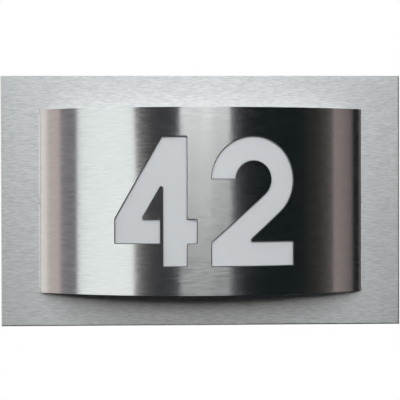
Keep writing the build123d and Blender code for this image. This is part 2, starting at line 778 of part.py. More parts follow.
def two_outline():
    """The 2 on the flat sheet: a round bowl that runs straight down into the base."""
    turn = math.radians(90 - two_slope)
    away = (math.cos(turn), -math.sin(turn))
    run = (-math.sin(turn), -math.cos(turn))
    inner = two_bowl - stroke

    def bowl(radius, angle):
        return (two_middle + radius * math.cos(angle), two_bowl_middle + radius * math.sin(angle))

    outer_leaves = bowl(two_bowl, -turn)
    inner_leaves = bowl(inner, -turn)
    outer_run = (outer_leaves[1] - two_base_top) / -run[1]
    outer_foot = (outer_leaves[0] + run[0] * outer_run, two_base_top)
    inner_run = (inner_leaves[0] - two_left) / -run[0]
    inner_foot = (two_left, inner_leaves[1] + run[1] * inner_run)
    top = math.radians(60)
    edges = ThreePointArc(bowl(two_bowl, math.pi), bowl(two_bowl, top), outer_leaves)
    edges += Polyline(outer_leaves, outer_foot, (two_right, two_base_top), (two_right, digit_bottom),
                      (two_left, digit_bottom), inner_foot, inner_leaves)
    edges += ThreePointArc(inner_leaves, bowl(inner, top), bowl(inner, math.pi))
    edges += Line(bowl(inner, math.pi), bowl(two_bowl, math.pi))
    face = make_face(edges)
    smooth = [Vector(*outer_leaves), Vector(*inner_leaves)]
    corners = [v for v in face.vertices() if min((Vector(v) - place).length for place in smooth) > 1]
    return fillet(corners, digit_corner)


def digit_cutter(outline):
    """The flat outline wrapped round the panel and cut square to the sheet."""
    radius = panel_radius + cut_margin
    drum = Pos(0, 0, arc_centre) * Cylinder(radius, panel_height, rotation=(90, 0, 0))
    curved = drum.faces().sort_by(SortBy.AREA)[-1]
    crown = Plane(origin=(0, 0, arc_centre + radius), x_dir=(1, 0, 0), z_dir=(0, 0, 1))
    wrapped = curved.wrap(outline.faces()[0], crown.location, tolerance=0.01)
    return Solid.thicken(wrapped, -(sheet + 2 * cut_margin))


def make_number_panel():
    outer = bowed_face(panel_radius, panel_half, tab_end, bend_inside + sheet)
    inner = bowed_face(panel_radius - sheet, panel_half - sheet, tab_end - past, bend_inside)
    panel = bowed_bar(outer - inner, panel_height)
    shoulder = plate_front + shoulder_gap
    behind = block((-panel_width, panel_width), (-panel_height, panel_height), (tab_end - 2 * past, shoulder))
    for side, y in clip_places:
        tab = block((side * panel_half - 2 * sheet, side * panel_half + 2 * sheet),
                    (y - tab_length / 2, y + tab_length / 2), (tab_end, shoulder + past))
        behind -= chamfer(tab.edges().filter_by(Axis.X).group_by(Axis.Z)[0], tab_lead)
    panel -= behind
    for outline in (four_outline(), two_outline()):
        panel -= digit_cutter(outline)
    return panel


def make_cover_studs():
    length = (diffuser_gap + diffuser_wall + boss_height + cover_washer_thickness + cover_nut_thickness
              + stud_past_nut - weld_gap)
    studs = []
    for angle, y in stud_places:
        pin = Cylinder(stud_radius, length, align=(Align.CENTER, Align.CENTER, Align.MIN))
        pin = chamfer(pin.faces().sort_by(Axis.Z)[-1].edges(), stud_point)
        studs.append(stud_plane(angle, y, panel_radius - sheet - weld_gap) * pin)
    return group(studs)


def make_diffuser():
    half = diffuser_width / 2
    outer = bowed_face(diffuser_radius, half, diffuser_rim, diffuser_corner)
    inner = bowed_face(diffuser_radius - diffuser_wall, half - diffuser_wall, diffuser_rim - past,
                       diffuser_corner / 2)
    body = bowed_bar(outer, diffuser_height)
    body = fillet(body.edges().filter_by(Axis.Z), diffuser_corner)
    body -= bowed_bar(inner, diffuser_height - 2 * diffuser_wall)
    start = -diffuser_wall / 2
    for angle, y in stud_places:
        seat = stud_plane(angle, y, diffuser_radius - diffuser_wall)
        boss = Cylinder(boss_radius, boss_height - start, align=(Align.CENTER, Align.CENTER, Align.MIN))
        body += seat * Pos(0, 0, start) * boss
        hole = Cylinder(stud_radius + stud_clearance, 4 * diffuser_wall)
        body -= seat * hole
    return body


def cover_stack(low, thickness, outer, bore):
    """The same ring-shaped piece on each of the four weld studs, a height above the diffuser's boss."""
    pieces = []
    for angle, y in stud_places:
        seat = stud_plane(angle, y, diffuser_radius - diffuser_wall - boss_height - low)
        piece = extrude(outer, thickness) - Cylinder(bore, 4 * thickness)
        pieces.append(seat * piece)
    return group(pieces)


def make_cover_washers():
    return cover_stack(0, cover_washer_thickness, Circle(cover_washer_radius), stud_radius + stud_clearance)


def make_cover_nuts():
    hexagon = RegularPolygon(cover_nut_width / 2, 6, major_radius=False)
    return cover_stack(cover_washer_thickness, cover_nut_thickness, hexagon, stud_radius + thread_gap)


# ---- Lamp ----
def make_lamp_contact():
    button = Pos(0, lamp_bottom) * Rectangle(button_radius, button_height, align=(Align.MIN, Align.MIN))
    button = fillet(button.vertices().sort_by_distance((button_radius, lamp_bottom))[0], button_height / 2)
    return turned(button, lamp_level)


def make_lamp_insulator():
    outline = Polyline((0, button_top), (insulator_low_radius, button_top), (cap_low_radius, insulator_top),
                       (0, insulator_top), close=True)
    return turned(make_face(outline), lamp_level)


def make_lamp_cap():
    root = cap_thread_root
    wire = Line((0, insulator_top), (root, insulator_top))
    for turn in range(cap_turns):
        low = insulator_top + turn * cap_thread_pitch
        high = low + cap_thread_pitch
        wire += ThreePointArc((root, low), (cap_thread_radius, (low + high) / 2), (root, high))
    wire += Polyline((root, thread_top), (root, cap_top), (0, cap_top), (0, insulator_top))
    return turned(make_face(wire), lamp_level)


def make_lamp_collar():
    rim = collar_top - collar_rim_radius
    outline = Polyline((0, cap_top), (collar_low_radius, cap_top), (collar_top_radius, rim),
                       (collar_top_radius, collar_top), (0, collar_top), close=True)
    face = make_face(outline)
    face = fillet(face.vertices().sort_by_distance((collar_low_radius, cap_top))[0], collar_rim_radius)
    return turned(face, lamp_level)


def make_lamp_bulb():
    widest = collar_top + bulb_swell
    tip = collar_top + bulb_height
    neck = collar_top_radius - collar_rim_radius / 2
    half = [(neck, collar_top), (bulb_radius, widest), (bulb_tip_radius, tip)]
    side = Spline(*half, tangents=((bulb_radius - neck, bulb_swell), (-bulb_tip_radius, bulb_radius)))
    outline = side + Polyline(half[-1], (0, tip), (0, collar_top), half[0])
    solid = turned(make_face(outline), lamp_level)
    foot = solid.faces().sort_by(Axis.Y)[0]
    return offset(solid, -bulb_wall, openings=foot)


pieces = {
    "back_plate": make_back_plate,
    "wall_bracket": make_wall_bracket,
    "hanger_studs": make_hanger_studs,
    "seal_washers": make_seal_washers,
    "cap_nuts": make_cap_nuts,
    "spring_clips": make_spring_clips,
    "clip_rivets": make_clip_rivets,
    "cover_gasket": make_cover_gasket,
    "reflector": make_reflector,
    "reflector_screws": make_reflector_screws,
    "cable_grommet": make_cable_grommet,
    "cable_clamp": make_cable_clamp,
    "cable_clamp_screws": make_cable_clamp_screws,
    "lampholder_bracket": make_lampholder_bracket,
    "bracket_screws": make_bracket_screws,
    "lampholder_body": make_lampholder_body,
    "lampholder_shell": make_lampholder_shell,
    "lampholder_contact": make_lampholder_contact,
    "holder_screws": make_holder_screws,
    "terminal_block": make_terminal_block,
    "terminal_clamps": make_terminal_clamps,
    "terminal_screws": make_terminal_screws,
    "block_screws": make_block_screws,
    "earth_stud": make_earth_stud,
    "earth_washer": make_earth_washer,
    "earth_lug": make_earth_lug,
    "earth_nut": make_earth_nut,
    "neutral_lead": make_neutral_lead,
    "live_lead": make_live_lead,
    "earth_lead": make_earth_lead,
    "number_panel": make_number_panel,
    "cover_studs": make_cover_studs,
    "diffuser": make_diffuser,
    "cover_washers": make_cover_washers,
    "cover_nuts": make_cover_nuts,
    "lamp_contact": make_lamp_contact,
    "lamp_insulator": make_lamp_insulator,
    "lamp_cap": make_lamp_cap,
    "lamp_collar": make_lamp_collar,
    "lamp_bulb": make_lamp_bulb,
}

os.makedirs("parts", exist_ok=True)
stand_up = Rot(90, 0, 0)
for name, make in pieces.items():
    solids = [stand_up * solid for solid in make().solids()]
    export_step(solids[0] if len(solids) == 1 else Compound(solids), f"parts/{name}.step")
print(len(pieces), "pieces written")
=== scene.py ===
# %% [markdown]
# # An illuminated house number sign
#
# The sign is a flat tray of brushed stainless steel with a bowed panel in front of it. A number is cut
# through the panel, and an opal box behind it hides a lamp. The solid parts are loaded already made and
# already in place. This lesson gives them their finishes, adds the wires and a few small details, and
# lights them so that the bowed steel shows what bowed steel is known for: tall, sharp-edged bands.

# %% Load the parts
import math

import bpy
from mathutils import Matrix, Vector


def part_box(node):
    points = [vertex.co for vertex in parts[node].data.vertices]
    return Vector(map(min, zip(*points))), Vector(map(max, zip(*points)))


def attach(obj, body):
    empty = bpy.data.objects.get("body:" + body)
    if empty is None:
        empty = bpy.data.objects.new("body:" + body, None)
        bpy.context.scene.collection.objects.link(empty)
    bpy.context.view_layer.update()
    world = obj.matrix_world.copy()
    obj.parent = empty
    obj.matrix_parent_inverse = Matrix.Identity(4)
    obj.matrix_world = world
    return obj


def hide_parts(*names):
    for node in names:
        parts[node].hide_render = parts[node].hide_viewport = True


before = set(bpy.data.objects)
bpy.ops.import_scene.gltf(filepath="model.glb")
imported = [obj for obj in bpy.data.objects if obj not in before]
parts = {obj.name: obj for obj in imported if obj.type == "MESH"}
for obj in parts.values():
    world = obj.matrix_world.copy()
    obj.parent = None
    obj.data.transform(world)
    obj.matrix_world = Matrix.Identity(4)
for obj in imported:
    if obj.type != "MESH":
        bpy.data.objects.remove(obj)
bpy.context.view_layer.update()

# %% [markdown]
# All lengths are metres, because that is Blender's unit. The sign's own sizes are easier to read in
# millimetres, so one short name turns the one into the other.

# %% Millimetres
mm = 0.001
print("one millimetre is", mm, "m")

# %% [markdown]
# ## The camera
#
# The picture is taken with a long lens from nearly a metre and a half away, three and a half degrees to the
# left of the middle and a little above it. The lens's axis meets the plate just left of its middle, and
# a small shift of the lens puts the sign into the picture's centre. A camera turned there instead would make
# the plate's upper and lower edges run together more. The camera leans by a sixth of a degree, because the
# plate in the picture does.

# %% Camera
eye = Vector((-0.0855, -1.444, 0.0165))
aim = Vector((-0.0169, -0.012, 0.0005))   # where the lens's axis meets the front of the plate
view_width = 0.3205                       # what the picture's width covers there
sensor_width = 36                         # millimetres
lean = math.radians(0.153)
turn = math.atan2(aim.x - eye.x, aim.y - eye.y)
nod = math.atan2(eye.z - aim.z, aim.y - eye.y)

bpy.ops.object.select_all(action="DESELECT")
bpy.ops.object.camera_add(location=eye, rotation=(math.radians(90) - nod, lean, -turn))
camera = bpy.context.object
camera.name = "camera"
camera.data.sensor_width = sensor_width
camera.data.lens = sensor_width * math.hypot(aim.x - eye.x, aim.y - eye.y) / view_width
camera.data.shift_x = 0.05
camera.data.clip_start = 0.05
bpy.context.scene.camera = camera
print("lens", round(camera.data.lens, 1), "mm, turned by", round(math.degrees(turn), 2), "degrees")

# %% [markdown]
# ## The wires
#
# Three single wires with soft insulation run inside the sign: two from the terminal block to the
# lampholder and one to the earth stud. A wire could be swept as a mesh, but a curve with a round bevel
# stays smooth from a handful of points. A NURBS curve of order 3 rounds every corner of its control
# points by itself. The order is set after the points are added, or it would be too high for them. The
# bevel is a metre deep and every point scales it down to the wire's radius: Blender counts the points'
# radius when it measures the curve's box, so a radius left at one metre would make the box huge.

# %% A wire from its control points
wire_radius = 0.9 * mm


def run_wire(name, points):
    curve = bpy.data.curves.new(name, "CURVE")
    curve.dimensions = "3D"
    spline = curve.splines.new("NURBS")
    spline.points.add(len(points) - 1)
    for point, place in zip(spline.points, points):
        point.co = (*(v * mm for v in place), 1)
        point.radius = wire_radius
    spline.order_u = 3
    spline.use_endpoint_u = True
    spline.resolution_u = 16
    curve.bevel_depth = 1.0
    curve.bevel_resolution = 4
    curve.use_fill_caps = True
    wire = bpy.data.objects.new(name, curve)
    bpy.context.scene.collection.objects.link(wire)
    return wire


print("each wire is", round(2 * wire_radius / mm, 1), "mm across")

# %% Three wires
neutral_route = [(54.5, -21, 5), (28, -21, 5), (26.8, -27.96, -25.6),
                 (28, -37.33, -56.25), (12, -37.33, -56.25)]
live_route = [(54.5, -21, -5), (32, -21, -5), (33.2, -27.96, -32.9),
              (32, -37.33, -60.75), (12, -37.33, -60.75)]
earth_route = [(54.5, -21, -15), (37.5, -21, -15), (37.5, -15.2, -30), (49.8, -15.2, -30)]
wires = {   # each with its route, in millimetres, and its real length, in metres
    "neutral": (run_wire("neutral_wire", neutral_route), neutral_route, 0.0978),
    "live": (run_wire("live_wire", live_route), live_route, 0.0924),
    "earth": (run_wire("earth_wire", earth_route), earth_route, 0.0399),
}
for name, (wire, route, length) in wires.items():
    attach(wire, "base")
    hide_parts(f"{name}_lead")
    print(name, "wire,", round(length * 1000, 1), "mm")

# %% [markdown]
# ## Finishes
#
# A material is a small network of nodes that ends in the Principled shader. Every finish here starts
# the same way: a new material, and one place from which patterns are measured. That place is the Object
# coordinate, which is in metres and fixed to the part, so a pattern has a real size.

# %% Start a finish
def new_finish(name, color, roughness, metallic=0.0):
    material = bpy.data.materials.new(name)
    material.use_nodes = True
    nodes = material.node_tree.nodes
    shader = nodes["Principled BSDF"]
    shader.inputs["Base Color"].default_value = (*color, 1)
    shader.inputs["Roughness"].default_value = roughness
    shader.inputs["Metallic"].default_value = metallic
    material.diffuse_color = (*color, 1)
    return material, shader


def link(material, out_socket, in_socket):
    material.node_tree.links.new(out_socket, in_socket)


# %% [markdown]
# Most surfaces need a noise: wide for a change of shade, fine for grain. The noise is stretched by
# scaling its coordinates. Brushing draws long lines, so along the lines the scale is small and across
# them it is large. A Map Range node then turns the noise into the numbers that a socket wants. It starts
# from 0.3 and 0.7, because most of a noise lies between the two.

# %% Noise measured in the part's own metres
usual_low, usual_high = 0.3, 0.7


def add_noise(material, per_metre, detail=2.0, distortion=0.0):
    nodes = material.node_tree.nodes
    place = nodes.new("ShaderNodeTexCoord")
    stretch = nodes.new("ShaderNodeMapping")
    stretch.inputs["Scale"].default_value = per_metre
    noise = nodes.new("ShaderNodeTexNoise")
    noise.inputs["Scale"].default_value = 1.0
    noise.inputs["Detail"].default_value = detail
    noise.inputs["Distortion"].default_value = distortion
    link(material, place.outputs["Object"], stretch.inputs["Vector"])
    link(material, stretch.outputs["Vector"], noise.inputs["Vector"])
    return noise.outputs["Fac"]


def to_range(material, value, low, high, start=usual_low, end=usual_high):
    remap = material.node_tree.nodes.new("ShaderNodeMapRange")
    remap.inputs["From Min"].default_value = start
    remap.inputs["From Max"].default_value = end
    remap.inputs["To Min"].default_value = low
    remap.inputs["To Max"].default_value = high
    link(material, value, remap.inputs["Value"])
    return remap.outputs["Result"]


def vary_color(material, shader, value, dark, light, start=usual_low, end=usual_high):
    ramp = material.node_tree.nodes.new("ShaderNodeValToRGB")
    ramp.color_ramp.elements[0].position = start
    ramp.color_ramp.elements[0].color = (*dark, 1)
    ramp.color_ramp.elements[1].position = end
    ramp.color_ramp.elements[1].color = (*light, 1)
    link(material, value, ramp.inputs["Fac"])
    link(material, ramp.outputs["Color"], shader.inputs["Base Color"])


def add_bump(material, shader, value, height):
    bump = material.node_tree.nodes.new("ShaderNodeBump")
    bump.inputs["Distance"].default_value = height
    link(material, value, bump.inputs["Height"])
    link(material, bump.outputs["Normal"], shader.inputs["Normal"])


# %% [markdown]
# ### Brushed stainless steel
#
# The plate and the panel are one sheet, ground with a belt from side to side. The scratches are so
# fine that they act on light like a ribbed mirror: along them a reflection stays sharp, across them it
# is smeared up and down. The Principled shader does that with its anisotropic setting, and a
# quarter turn of its rotation makes the smear upright. Over it lies a grain that can just be seen:
# strokes a few millimetres long and less than a millimetre thick. Some are a shade darker, and some are
# rougher, which shows most where the steel mirrors something dark. The plate's folded sides run in Y, so
# there the strokes are thin in that direction too.

# %% Brushed steel
quarter_turn = 0.25
scratch_depth = 0.002 * mm
rough_stroke_scale = 0.8   # rough strokes are a little longer and thicker than dark ones


def brushed_steel(name, dark, light, smooth, rough, per_metre):
    material, shader = new_finish(name, light, rough, metallic=1.0)
    shader.inputs["Anisotropic"].default_value = 1.0
    shader.inputs["Anisotropic Rotation"].default_value = quarter_turn
    grain = add_noise(material, per_metre, detail=3.0)
    vary_color(material, shader, grain, dark, light)
    strokes = add_noise(material, [rough_stroke_scale * scale for scale in per_metre], detail=3.0)
    link(material, to_range(material, strokes, smooth, rough), shader.inputs["Roughness"])
    add_bump(material, shader, grain, scratch_depth)
    return material


plate_steel = brushed_steel("plate_steel", dark=(0.59, 0.60, 0.595), light=(0.79, 0.802, 0.798),
                            smooth=0.30, rough=0.37, per_metre=(200, 1450, 1450))
panel_steel = brushed_steel("panel_steel", dark=(0.570, 0.580, 0.578), light=(0.605, 0.615, 0.612),
                            smooth=0.16, rough=0.267, per_metre=(130, 130, 1150))
print("brushed steel:", plate_steel.name, "and", panel_steel.name)

# %% [markdown]
# ### Smaller metal parts
#
# Zinc plate is dull and a little cloudy, with faint blue and yellow tints. Spring strip is dark and
# oiled. Turned screws and nuts are brighter. One recipe serves all of them: cloudy colour from a wide
# noise, and a roughness that wanders with a finer one.

# %% Cloudy metals
specks_per_metre = 900
speck_depth = 0.004 * mm


def cloudy_metal(name, dark, light, smooth, rough, cloud=90):
    material, shader = new_finish(name, light, rough, metallic=1.0)
    clouds = add_noise(material, [cloud] * 3, detail=4.0, distortion=0.6)
    vary_color(material, shader, clouds, dark, light)
    specks = add_noise(material, [specks_per_metre] * 3)
    link(material, to_range(material, specks, smooth, rough), shader.inputs["Roughness"])
    add_bump(material, shader, specks, speck_depth)
    return material


zinc = cloudy_metal("zinc_plate", (0.50, 0.52, 0.56), (0.66, 0.66, 0.63), 0.28, 0.42)
bright_steel = cloudy_metal("bright_steel", (0.66, 0.66, 0.66), (0.76, 0.76, 0.75), 0.10, 0.18, cloud=200)
spring_steel = cloudy_metal("spring_steel", (0.22, 0.22, 0.235), (0.36, 0.355, 0.35), 0.22, 0.36, cloud=250)
rivet_metal = cloudy_metal("rivet_aluminium", (0.66, 0.665, 0.67), (0.80, 0.80, 0.80), 0.25, 0.40)
brass = cloudy_metal("brass", (0.58, 0.40, 0.16), (0.76, 0.58, 0.28), 0.16, 0.30, cloud=250)
tinned = cloudy_metal("tinned_copper", (0.60, 0.60, 0.58), (0.74, 0.73, 0.70), 0.22, 0.36, cloud=300)
nickel = cloudy_metal("nickel", (0.62, 0.59, 0.52), (0.74, 0.71, 0.65), 0.12, 0.24, cloud=300)
metals = (zinc, bright_steel, spring_steel, rivet_metal, brass, tinned, nickel)
print("cloudy metals:", ", ".join(metal.name for metal in metals))

# %% [markdown]
# ### Plastic, rubber and paint
#
# Moulded plastic keeps the fine texture of its mould, paint has a slight orange peel, and rubber is
# nearly without shine and dusty. They share one recipe too, with other numbers: base colour with a
# faint change of shade, and a bump whose grain has the right size.

# %% Matt finishes
def matt_finish(name, dark, light, roughness, grain, height, cloud=60):
    material, shader = new_finish(name, light, roughness)
    vary_color(material, shader, add_noise(material, [cloud] * 3, detail=3.0), dark, light)
    fine = add_noise(material, [grain] * 3)
    wandering = to_range(material, fine, roughness * 0.85, roughness * 1.15)
    link(material, wandering, shader.inputs["Roughness"])
    add_bump(material, shader, fine, height)
    return material


opal = matt_finish("opal_plastic", (0.610, 0.632, 0.652), (0.632, 0.654, 0.674),
                   roughness=0.38, grain=700, height=0.004 * mm, cloud=25)
enamel = matt_finish("white_enamel", (0.80, 0.80, 0.785), (0.85, 0.85, 0.84),
                     roughness=0.32, grain=500, height=0.02 * mm)
black_glaze = matt_finish("black_glaze", (0.010, 0.010, 0.012), (0.022, 0.022, 0.025),
                          roughness=0.12, grain=600, height=0.004 * mm)
print("shiny:", ", ".join(finish.name for finish in (opal, enamel, black_glaze)))

# %% Plastic and rubber
white_plastic = matt_finish("white_plastic", (0.74, 0.735, 0.71), (0.80, 0.795, 0.775),
                            roughness=0.42, grain=1500, height=0.01 * mm)
bulb_plastic = matt_finish("frosted_bulb", (0.84, 0.84, 0.82), (0.88, 0.88, 0.865),
                           roughness=0.50, grain=1800, height=0.006 * mm, cloud=40)
black_rubber = matt_finish("black_rubber", (0.018, 0.018, 0.019), (0.036, 0.036, 0.037),
                           roughness=0.75, grain=2200, height=0.03 * mm)
nylon = matt_finish("nylon", (0.62, 0.60, 0.53), (0.70, 0.68, 0.61),
                    roughness=0.45, grain=1500, height=0.01 * mm)
blue_insulation = matt_finish("blue_insulation", (0.02, 0.10, 0.36), (0.03, 0.14, 0.46),
                              roughness=0.42, grain=2500, height=0.006 * mm)
brown_insulation = matt_finish("brown_insulation", (0.13, 0.052, 0.022), (0.18, 0.075, 0.032),
                               roughness=0.42, grain=2500, height=0.006 * mm)
dull = (white_plastic, bulb_plastic, black_rubber, nylon, blue_insulation, brown_insulation)
print("dull:", ", ".join(finish.name for finish in dull))

# %% [markdown]
# The earth wire is green with a yellow stripe. On a real wire the stripe winds so slowly that over four
# centimetres it looks straight. On a curve the texture coordinates of the bevelled tube run along it in one
# direction and round it in the other, so a straight stripe is a step in the second one. The Ping-pong node
# counts up to half way round and down again, which gives the stripe its two edges.

# %% Green and yellow
stripe_edge = (0.34, 0.35)


def striped_insulation(name, green, yellow):
    material, shader = new_finish(name, green, 0.42)
    nodes = material.node_tree.nodes
    place = nodes.new("ShaderNodeTexCoord")
    split = nodes.new("ShaderNodeSeparateXYZ")
    half_round = nodes.new("ShaderNodeMath")
    half_round.operation = "PINGPONG"
    half_round.inputs[1].default_value = 0.5
    link(material, place.outputs["UV"], split.inputs["Vector"])
    link(material, split.outputs["Y"], half_round.inputs[0])
    vary_color(material, shader, half_round.outputs["Value"], green, yellow, *stripe_edge)
    return material


green_insulation = striped_insulation("green_insulation", (0.035, 0.22, 0.045), (0.70, 0.58, 0.05))
print("striped:", green_insulation.name)

# %% [markdown]
# Each part now gets its finish. A part made of solids keeps its mesh as it is: only its material slot
# is filled.

# %% Which part gets which finish
finishes = {
    plate_steel: ["back_plate"],
    panel_steel: ["number_panel"],
    zinc: ["wall_bracket", "hanger_studs", "reflector_screws", "cable_clamp_screws", "bracket_screws",
           "holder_screws", "block_screws", "earth_washer", "cover_studs", "cover_nuts",
           "lampholder_bracket"],
    bright_steel: ["cap_nuts", "terminal_screws"],
    spring_steel: ["spring_clips"],
    rivet_metal: ["clip_rivets"],
    brass: ["lampholder_contact", "terminal_clamps", "earth_stud", "earth_nut"],
    tinned: ["earth_lug", "lamp_contact"],
    nickel: ["lampholder_shell", "lamp_cap"],
    opal: ["diffuser"],
    enamel: ["reflector"],
    white_plastic: ["lampholder_body", "terminal_block", "cable_clamp", "lamp_collar"],
    bulb_plastic: ["lamp_bulb"],
    black_rubber: ["cover_gasket", "cable_grommet", "seal_washers"],
    nylon: ["cover_washers"],
    black_glaze: ["lamp_insulator"],
    blue_insulation: ["neutral_lead"],
    brown_insulation: ["live_lead"],
    green_insulation: ["earth_lead"],
}
wire_finishes = {"neutral": blue_insulation, "live": brown_insulation, "earth": green_insulation}
print("finishes:", len(finishes))

# %% Finish every part
for finish, names in finishes.items():
    for name in names:
        parts[name].data.materials.clear()
        parts[name].data.materials.append(finish)
for name, finish in wire_finishes.items():
    wires[name][0].data.materials.append(finish)
print("parts with a finish:", sum(len(names) for names in finishes.values()), "of", len(parts))

# %% [markdown]
# ## Cut edges
#
# The number is cut out with a laser, which leaves its edges dark, dull and slightly rounded: a line less
# than a millimetre wide that outlines both digits. Its colour here is darker than the cut alone makes it:
# the rest is painted shade, standing for the shadow in the thin gap between the sheet and the opal behind.
# A line that follows a cut exactly is best taken from the cut. The panel's mesh is copied and merged, its
# sharp edges are selected, and of these only the ones on the front face round the digits stay. As a curve
# they get a round bevel, and they sink into the sheet by their own radius, so nothing stands proud of the
# steel. Slivers in the mesh leave a few lines of two or three points beside the outlines. These are
# removed, and the outlines are closed.

# %% Cut steel, darkened further with painted shade
# painted shade: this dark colour is partly the cut's own and partly the shadow in the gap behind the digits
cut_steel_and_painted_shade = cloudy_metal("laser_cut_edge_and_painted_shade", (0.10, 0.10, 0.10), (0.17, 0.17, 0.165), 0.38, 0.50, cloud=120)
edge_radius = 0.6 * mm
bow_radius = 183.49 * mm
bow_axis = Vector((0, 117.49 * mm, 0))
print("the bead is", round(2 * edge_radius / mm, 1), "mm thick")

# %% Sharp edges of a copy of the panel
merge_distance = 1e-6
sharp_angle = math.radians(35)

cut_edges = bpy.data.objects.new("cut_edges", parts["number_panel"].data.copy())
bpy.context.scene.collection.objects.link(cut_edges)
bpy.ops.object.select_all(action="DESELECT")
cut_edges.select_set(True)
bpy.context.view_layer.objects.active = cut_edges
bpy.ops.object.mode_set(mode="EDIT")
bpy.ops.mesh.select_mode(type="EDGE")
bpy.ops.mesh.select_all(action="SELECT")
bpy.ops.mesh.remove_doubles(threshold=merge_distance)
bpy.ops.mesh.select_all(action="DESELECT")
bpy.ops.mesh.edges_select_sharp(sharpness=sharp_angle)
bpy.ops.object.mode_set(mode="OBJECT")
print("sharp edges:", sum(edge.select for edge in cut_edges.data.edges))

# %% Only those round the digits
on_face = 0.02 * mm        # how near to the bowed face a point lies
digits_reach_x = 85 * mm   # the digits lie within these two, and the panel's outline doesn't
digits_reach_z = 52 * mm


def round_the_digits(place):
    from_axis = math.hypot(place.x - bow_axis.x, place.y - bow_axis.y)
    return (abs(from_axis - bow_radius) < on_face
            and abs(place.x) < digits_reach_x and abs(place.z) < digits_reach_z)


points = cut_edges.data.vertices
for edge in cut_edges.data.edges:
    edge.select = edge.select and all(round_the_digits(points[end].co) for end in edge.vertices)
print("edges round the digits:", sum(edge.select for edge in cut_edges.data.edges))

# %% From edges to lines
fewest_points = 10   # an outline has far more, a sliver's line has fewer

bpy.ops.object.mode_set(mode="EDIT")
bpy.ops.mesh.select_all(action="INVERT")
bpy.ops.mesh.delete(type="EDGE")
bpy.ops.mesh.select_all(action="SELECT")
bpy.ops.mesh.delete_loose(use_verts=True, use_edges=False, use_faces=False)
bpy.ops.mesh.select_all(action="SELECT")
sunk = (bow_radius - edge_radius) / bow_radius
bpy.ops.transform.resize(value=(sunk, sunk, 1), center_override=bow_axis)
bpy.ops.object.mode_set(mode="OBJECT")
bpy.ops.object.convert(target="CURVE")
cut_edges = bpy.context.object
for line in [line for line in cut_edges.data.splines if len(line.points) < fewest_points]:
    cut_edges.data.splines.remove(line)
for line in cut_edges.data.splines:
    line.use_cyclic_u = True
print("closed lines:", len(cut_edges.data.splines))

# %% From lines to beads
cut_edges.data.bevel_depth = edge_radius
cut_edges.data.bevel_resolution = 2
bpy.ops.object.convert(target="MESH")
cut_edges = bpy.context.object
cut_edges.data.materials.clear()
# the bead's dark colour is partly painted shade, for the gap between the sheet and the opal
cut_edges.data.materials.append(cut_steel_and_painted_shade)
bpy.ops.object.shade_smooth_by_angle(angle=math.radians(40))
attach(cut_edges, "cover")
print("cut edges:", len(cut_edges.data.polygons), "faces")

# %% [markdown]
# ## Screw threads
#
# Ten sheet-metal screws hold the inner parts, and their tips show behind the plate. A real thread is a
# ridge that climbs round the shank. Here a small triangle stands against the shank and the Screw modifier
# turns and lifts it at once. One thread is made and copied to every screw. The screws' places are read
# from the boxes of the solids: a head's radius in from each corner.

# %% The ridge's cross-section
shank_radius = 1.5 * mm
ridge_radius = 0.27 * mm
on_the_shank = (shank_radius, 0, 0)

bpy.ops.object.select_all(action="DESELECT")
bpy.ops.mesh.primitive_circle_add(vertices=3, radius=ridge_radius, fill_type="NOTHING", location=on_the_shank)
thread = bpy.context.object
bpy.ops.object.mode_set(mode="EDIT")
bpy.ops.mesh.select_all(action="SELECT")
bpy.ops.transform.rotate(value=math.radians(90), orient_axis="Z", center_override=on_the_shank)
bpy.ops.transform.resize(value=(0.75, 1.25, 1), center_override=on_the_shank)
bpy.ops.object.mode_set(mode="OBJECT")
bpy.ops.object.transform_apply(location=True, rotation=True, scale=True)
crest = max(point.co.x for point in thread.data.vertices)
print("thread crest at", round(crest / mm, 2), "mm from the screw's middle")

# %% One thread
thread_pitch = 0.72 * mm
turns = 3
steps_per_turn = 20

climb = thread.modifiers.new("climb", "SCREW")
climb.axis = "Y"
climb.screw_offset = thread_pitch
climb.iterations = turns
climb.steps = climb.render_steps = steps_per_turn
bpy.ops.object.modifier_apply(modifier="climb")
bpy.ops.object.mode_set(mode="EDIT")
bpy.ops.mesh.select_all(action="SELECT")
bpy.ops.mesh.fill_holes(sides=4)
bpy.ops.mesh.normals_make_consistent(inside=False)
bpy.ops.object.mode_set(mode="OBJECT")
bpy.ops.object.shade_smooth_by_angle(angle=math.radians(50))
thread.data.materials.append(zinc)
print("one thread:", len(thread.data.polygons), "faces")

# %% Where the screws are
head_radius = 2.8 * mm


def corners_of(name):
    (x0, _, z0), (x1, _, z1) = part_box(name)
    across = sorted({round(x0 + head_radius, 5), round(x1 - head_radius, 5)})
    up = sorted({round(z0 + head_radius, 5), round(z1 - head_radius, 5)})
    return [(x, z) for x in across for z in up]


tips = [place for name in ("reflector_screws", "bracket_screws", "cable_clamp_screws", "block_screws")
        for place in corners_of(name)]
print("screws at", [(round(x / mm, 1), round(z / mm, 1)) for x, z in tips], "mm")

# %% A thread on every screw
thread_start = -10.25 * mm
low = min(point.co.y for point in thread.data.vertices)
for number, (x, z) in enumerate(tips, 1):
    ridge = bpy.data.objects.new(f"screw_thread_{number}", thread.data.copy())
    bpy.context.scene.collection.objects.link(ridge)
    ridge.data.transform(Matrix.Translation((x, thread_start - low, z)))
    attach(ridge, "base")
bpy.data.objects.remove(thread)
print("threads:", len(tips))

# %% [markdown]
# ## Weld beads
#
# The tray's four sides are folded up from one sheet, so its corners are open seams. A welder closes them
# from inside, and each seam then looks like a row of overlapping coins. One coin is a flattened sphere,
# tilted a little. The Array modifier lays nine of them in a row, and the row is copied into every corner.

# %% One coin
coin_radius = 1.5 * mm
flatness = 0.62
tilt = math.radians(18)

